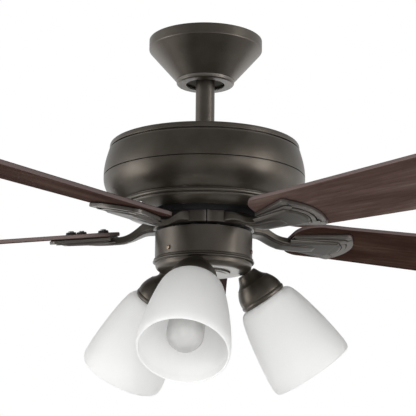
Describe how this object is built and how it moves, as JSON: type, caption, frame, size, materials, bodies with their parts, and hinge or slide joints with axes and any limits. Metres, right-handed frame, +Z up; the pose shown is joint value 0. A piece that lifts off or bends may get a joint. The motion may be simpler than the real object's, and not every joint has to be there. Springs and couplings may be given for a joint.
{
  "type": "ceiling fan with light",
  "caption": "Flush-canopy ceiling fan on a short downrod, with pitched wood blades on stepped irons and a light kit of frosted bell shades",
  "frame": {"origin": "on the fan's axis at the ceiling plane, the hanger bracket's top face", "axes": "+Z up into the ceiling, +X along the bracket's slots, -Y towards the viewer"},
  "size_m": [1.2865, 1.2459, 0.4955],
  "materials": {
    "steel": "zinc plated",
    "bronze": "oil-rubbed bronze, satin",
    "ball_plastic": "matte",
    "motor_metal": "semi-gloss",
    "core_steel": "laminated",
    "copper_wire": "enamelled",
    "walnut": "satin walnut veneer",
    "rubber_pad": "matte",
    "black_plastic": "matte",
    "porcelain": "glazed",
    "frosted_glass": "frosted, satin",
    "bulb_glass": "soft white"
  },
  "bodies": {
    "ceiling_mount": {"hanger_bracket": "steel", "canopy": "bronze", "canopy_screws": "steel", "canopy_trim_ring": "bronze"},
    "hanging_frame": {"hanger_ball": "ball_plastic", "ball_pin": "steel", "downrod": "bronze", "motor_coupling": "bronze", "coupling_pin": "steel", "coupling_clip": "steel", "coupling_screws": "steel", "housing_top_cover": "bronze", "housing_upper_shell": "bronze", "housing_lower_shell": "bronze", "housing_screws": "steel", "stator_shaft": "steel", "stator_core": "core_steel", "stator_windings": "copper_wire", "switch_housing_plate": "steel", "shaft_nut": "steel", "switch_housing": "bronze", "switch_housing_screws": "steel", "reverse_switch_body": "black_plastic", "capacitor": "black_plastic", "light_kit_bowl": "bronze", "bottom_cap": "bronze", "lamp_holder_1": "bronze", "lamp_holder_2": "bronze", "lamp_holder_3": "bronze", "lamp_socket_1": "porcelain", "lamp_socket_2": "porcelain", "lamp_socket_3": "porcelain", "shade_rings": "porcelain", "glass_shade_1": "frosted_glass", "glass_shade_2": "frosted_glass", "glass_shade_3": "frosted_glass", "bulb_1": "bulb_glass", "bulb_2": "bulb_glass", "bulb_3": "bulb_glass"},
    "rotor": {"rotor_ring": "core_steel", "motor_case_upper": "motor_metal", "motor_case_lower": "motor_metal", "motor_case_screws": "steel", "upper_bearing": "steel", "lower_bearing": "steel", "blade_iron_1": "bronze", "blade_iron_2": "bronze", "blade_iron_3": "bronze", "blade_iron_4": "bronze", "blade_iron_5": "bronze", "blade_1": "walnut", "blade_2": "walnut", "blade_3": "walnut", "blade_4": "walnut", "blade_5": "walnut", "blade_grommets": "rubber_pad", "blade_screws": "steel", "iron_screws": "steel"},
    "reverse_slider": {"reverse_switch_slider": "black_plastic"}
  },
  "joints": [
    {"name": "hanger_tilt", "type": "hinge", "parent": "ceiling_mount", "child": "hanging_frame", "pos_m": [0, 0, -0.024], "axis": [1, 0, 0], "range_deg": [-15, 15]},
    {"name": "fan_spin", "type": "hinge", "parent": "hanging_frame", "child": "rotor", "pos_m": [0, 0, -0.2], "axis": [0, 0, 1], "continuous": true},
    {"name": "reverse_slide", "type": "slide", "parent": "hanging_frame", "child": "reverse_slider", "axis": [0, 0, -1], "range_m": [0, 0.006]}
  ]
}
